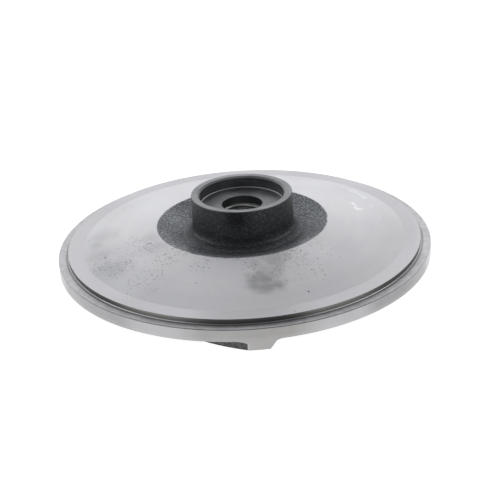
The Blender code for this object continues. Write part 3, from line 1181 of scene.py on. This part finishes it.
# painted light: the dish painted lighter towards its crest and near the foot in front, and in a
# spot on the left
near_crest = times(fade(radius, 46.0, 56.0, 0.0, 0.45), fade(depth_of, -48.0, -25.0, 1.0, 0.0))
near_foot = times(fade(radius, 35.5, 38.5, 0.0, 0.34), fade(depth_of, -36.0, -22.0, 1.0, 0.0))
painted_lit_left = times(blob(flat, -48.0, 18.0, 3.0, 16.0), 0.35)
painted_lit_dish = largest([calculate("ADD", near_crest, near_foot), painted_lit_left])
# painted shade: a soft dark stripe down the front of the hub, near its top
off_stripe = calculate("ABSOLUTE", calculate("ADD", side_of, 4.0 * MM))
stripe_height = fade(height_of, 32.0, 42.0)
painted_shade_stripe = times(fade(off_stripe, 1.5, 12.0, 0.8, 0.0), stripe_height, in_front)
painted_shade_and_dark_spots = largest([painted_shade_stripe, times(blobs(flat, dark_spots_beside_hub), 0.3)])
under = fade(height_of, 13.0, 15.0, 1.0, 0.0)
# the share of each place, with the colour of its bright grains and of its dark ground
skin_places = [
    (dish_painted_light, grey(0.39, 0.08, -0.06), grey(0.10, 0.08, -0.06)),
    (painted_light_at_root, grey(0.36, 0.08, -0.05), grey(0.19, 0.08, -0.05)),
    (painted_crook_shade, grey(0.05, 0.08, -0.05), grey(0.03, 0.08, -0.05)),
    (painted_lit_dish, grey(0.62, 0.06, -0.03), grey(0.24, 0.06, -0.03)),
    (painted_shade_and_dark_spots, grey(0.02), grey(0.01)),
    (under, grey(0.17, 0.0), grey(0.07, 0.0)),
]
bright_coats = [(share, bright) for share, bright, dark in skin_places]
dark_coats = [(share, dark) for share, bright, dark in skin_places]
bright_grain = coat(grey(0.12, 0.08, -0.05), bright_coats)
dark_ground = coat(grey(0.052, 0.08, -0.05), dark_coats)
sand = cloud(place, SAND_SCALE, 2.0, 0.6)
sand_colour = coat(dark_ground, [(map_range(sand, 0.42, 0.72), bright_grain)])
print("places of the skin:", len(skin_places))

# %% [markdown]
# ## One shader for both
#
# The finish number of each face chooses between the bright iron and the skin.  Turned iron
# stretches its highlights across the grooves, so its shader is anisotropic, with the tangent
# running round the axis.  Bump adds what is too small for points: the grooves, and single grains.

# %% Finish of the iron
TURNED_GROOVE = 0.004 * MM
SAND_BUMP = 0.12 * MM
SKIN_ROUGHNESS = 0.52
QUARTER_TURN = 0.25
skin = add_node(tree, "ShaderNodeAttribute", attribute_name="skin").outputs["Fac"]
turned_gloss = map_range(blotches, 0.3, 0.7, 0.32, 0.40)
turned_gloss = calculate("ADD", turned_gloss, fade(radius, 117.3, 117.6, 0.0, 0.08))
turned_height = calculate("ADD", rings, times(broad_rings, 0.25))
bump_inputs = {
    "Height": mix_number(skin, turned_height, sand),
    "Distance": map_range(skin, 0.0, 1.0, TURNED_GROOVE, SAND_BUMP),
}
finish = {
    "Base Color": coat(turned_colour, [(skin, sand_colour)]),
    "Roughness": mix_number(skin, turned_gloss, SKIN_ROUGHNESS),
    "Metallic": map_range(skin, 0.0, 1.0, 1.0, 0.85),
    "Anisotropic": map_range(skin, 0.0, 1.0, 0.5, 0.0),
    "Anisotropic Rotation": QUARTER_TURN,
    "Tangent": add_node(tree, "ShaderNodeTangent", direction_type="RADIAL", axis="Z").outputs[0],
    "Normal": add_node(tree, "ShaderNodeBump", bump_inputs).outputs["Normal"],
}
set_inputs(shader, finish)
print("nodes in the iron:", len(tree.nodes))

# %% [markdown]
# ## The hub's face and the bores
#
# The face of the hub has dulled since it was cut.  The bores are darker still: their grey is partly
# painted shade, since little light reaches into them, and they were cut with a coarser feed.  Both
# are the same finish with other values, so one helper makes them.  It paints the left side darker
# as painted shade, the thread lighter as a painted highlight, and thin bright circles as painted
# highlights where an edge shines.

# %% Hub face and bores
BORED_GROOVE = 0.006 * MM
BORED_BLOTCH_SCALE = 60.0


def bored_material(name, colours, roughnesses, ring_scale, painted_left_shade, painted_edge_highlights):
    """A turned finish between two colours and two roughnesses, with painted shade and painted
    highlights.
    """
    material, tree, shader = new_material(name)
    place = place_on_part(tree)
    radius, rings = turned_rings(place, ring_scale)[1:]
    side, _, height = side_depth_height(place)
    blotches = cloud(place, BORED_BLOTCH_SCALE)
    layers = [
        (map_range(blotches, 0.35, 0.65), colours[1]),
        # painted shade: the left side painted darker
        (fade(side, -27.0, -10.0, painted_left_shade, 0.0), grey(0.03)),
        # painted highlight: the threaded part of the bore painted lighter
        (fade(height, 33.6, 34.4, 0.5, 0.0), grey(0.6, 0.0)),
    ]
    # painted highlights: thin bright circles where an edge shines
    for middle, half, share, highlight_grey in painted_edge_highlights:
        on_highlight = times(ring_share(radius, middle, half, 0.5 * half), share)
        layers.append((on_highlight, grey(highlight_grey, 0.02)))
    bump = add_node(tree, "ShaderNodeBump", {"Height": rings, "Distance": BORED_GROOVE})
    finish = {
        "Base Color": coat(colours[0], layers),
        "Roughness": map_range(blotches, 0.3, 0.7, *roughnesses),
        "Metallic": 1.0,
        "Normal": bump.outputs["Normal"],
    }
    set_inputs(shader, finish)
    return material


hub_iron = bored_material(
    "turned_hub_face",
    colours=(grey(0.20, 0.06, -0.03), grey(0.33, 0.04, -0.01)),
    roughnesses=(0.36, 0.45),
    ring_scale=2600.0,
    painted_left_shade=0.13,
    painted_edge_highlights=[(33.1, 0.2, 1.0, 0.36)],
)
bore_iron = bored_material(
    "bored_iron",
    colours=(grey(0.175, 0.02, -0.03), grey(0.265, 0.02, -0.03)),
    roughnesses=(0.38, 0.46),
    ring_scale=1800.0,
    painted_left_shade=0.4,
    painted_edge_highlights=[(27.8, 0.2, 1.0, 0.45), (28.12, 0.04, 0.15, 0.6)],
)
for slot_index, material in enumerate((iron, hub_iron, bore_iron)):
    body.data.materials[slot_index] = material
print("materials on the casting:", [material.name for material in body.data.materials])

# %% [markdown]
# ## Floor and light
#
# The part lies on white paper in an even light that comes from behind, above and the sides.
# The paper glows by itself, so it stays white and keeps only a faint shadow under the part.
# From below it is see-through, and the underside shows in low views.

# %% Floor
FLOOR_HALF = 4.0
FLOOR_HEIGHT = -0.0002
PAPER_GREY = 0.3
PAPER_GLOW = 0.97
WHITE = (1.0, 1.0, 1.0, 1.0)


def glowing_material(name, value, roughness, glow):
    """A plain grey material that glows white."""
    material, tree, shader = new_material(name)
    set_inputs(shader, {"Base Color": grey(value, 0.0), "Roughness": roughness})
    set_inputs(shader, {"Emission Color": WHITE, "Emission Strength": glow})
    return material, tree, shader


floor_mesh = bpy.data.meshes.new("floor")
corners = [(x * FLOOR_HALF, y * FLOOR_HALF, 0.0) for x, y in ((-1, -1), (1, -1), (1, 1), (-1, 1))]
floor_mesh.from_pydata(corners, [], [(0, 1, 2, 3)])
floor = bpy.data.objects.new("floor", floor_mesh)
floor.location.z = FLOOR_HEIGHT
scene.collection.objects.link(floor)
paper, paper_tree, paper_shader = glowing_material("white_paper", PAPER_GREY, 0.9, PAPER_GLOW)
from_below = add_node(paper_tree, "ShaderNodeNewGeometry").outputs["Backfacing"]
clear = add_node(paper_tree, "ShaderNodeBsdfTransparent").outputs["BSDF"]
paper_inputs = {0: from_below, 1: paper_shader.outputs["BSDF"], 2: clear}
seen = add_node(paper_tree, "ShaderNodeMixShader", paper_inputs).outputs["Shader"]
set_inputs(paper_tree.nodes["Material Output"], {"Surface": seen})
floor_mesh.materials.append(paper)
print("the floor is", 2 * FLOOR_HALF, "m wide")

# %% [markdown]
# A white tent stands round the scene.  Only the camera sees it, so it keeps the ground white in
# every view and sends no light to the part.

# %% Light tent
TENT_RADIUS = 3.8
tent_shape = bmesh.new()
bmesh.ops.create_uvsphere(tent_shape, u_segments=48, v_segments=24, radius=TENT_RADIUS)
tent = add_object("tent", tent_shape)
tent.data.materials.append(glowing_material("white_tent", 0.0, 1.0, 1.0)[0])
for rays in ("diffuse", "glossy", "transmission", "volume_scatter", "shadow"):
    setattr(tent, "visible_" + rays, False)
print("faces of the tent:", len(tent.data.polygons))

# %% [markdown]
# The light itself is the world: brightest behind and above, and dim on the side of the camera.
# That dark side is what the front of the hub and the wall of the step reflect, so they look
# black, as they do in the photograph.  Lamps could do the same, but they would need many soft
# sources to be this even.

# %% Light
LIGHT_TINT = (0.98, 0.985, 1.0, 1.0)
world = bpy.data.worlds.new("soft_studio")
world.use_nodes = True
world_tree = world.node_tree
direction = add_node(world_tree, "ShaderNodeTexCoord").outputs["Generated"]
backwards, upwards = side_depth_height(direction)[1:]
towards_light = calculate("ADD", backwards, times(upwards, 0.6))
glow = map_range(towards_light, -0.1, 0.95, 0.30, 1.2)
dark_side = map_range(backwards, -0.97, -0.6, 0.25, 1.0)
overhead_inputs = {"Value": upwards, "To Min": 1.10, "To Max": 0.62}
overhead = add_node(world_tree, "ShaderNodeMapRange", overhead_inputs).outputs["Result"]
near_floor = map_range(upwards, 0.0, 0.4, 0.3, 0.0)
by_height = calculate("ADD", overhead, near_floor)
background = world_tree.nodes["Background"]
set_inputs(background, {"Color": LIGHT_TINT, "Strength": times(glow, dark_side, by_height)})
scene.world = world
scene.view_settings.view_transform = "Standard"
print("the light is made of", len(world_tree.nodes), "nodes")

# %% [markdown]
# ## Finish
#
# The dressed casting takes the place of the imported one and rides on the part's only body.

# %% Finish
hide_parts("impeller_casting")
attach(body, "root")
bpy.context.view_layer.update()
triangles = sum(len(face.vertices) - 2 for face in body.data.polygons)
print("triangles:", triangles)
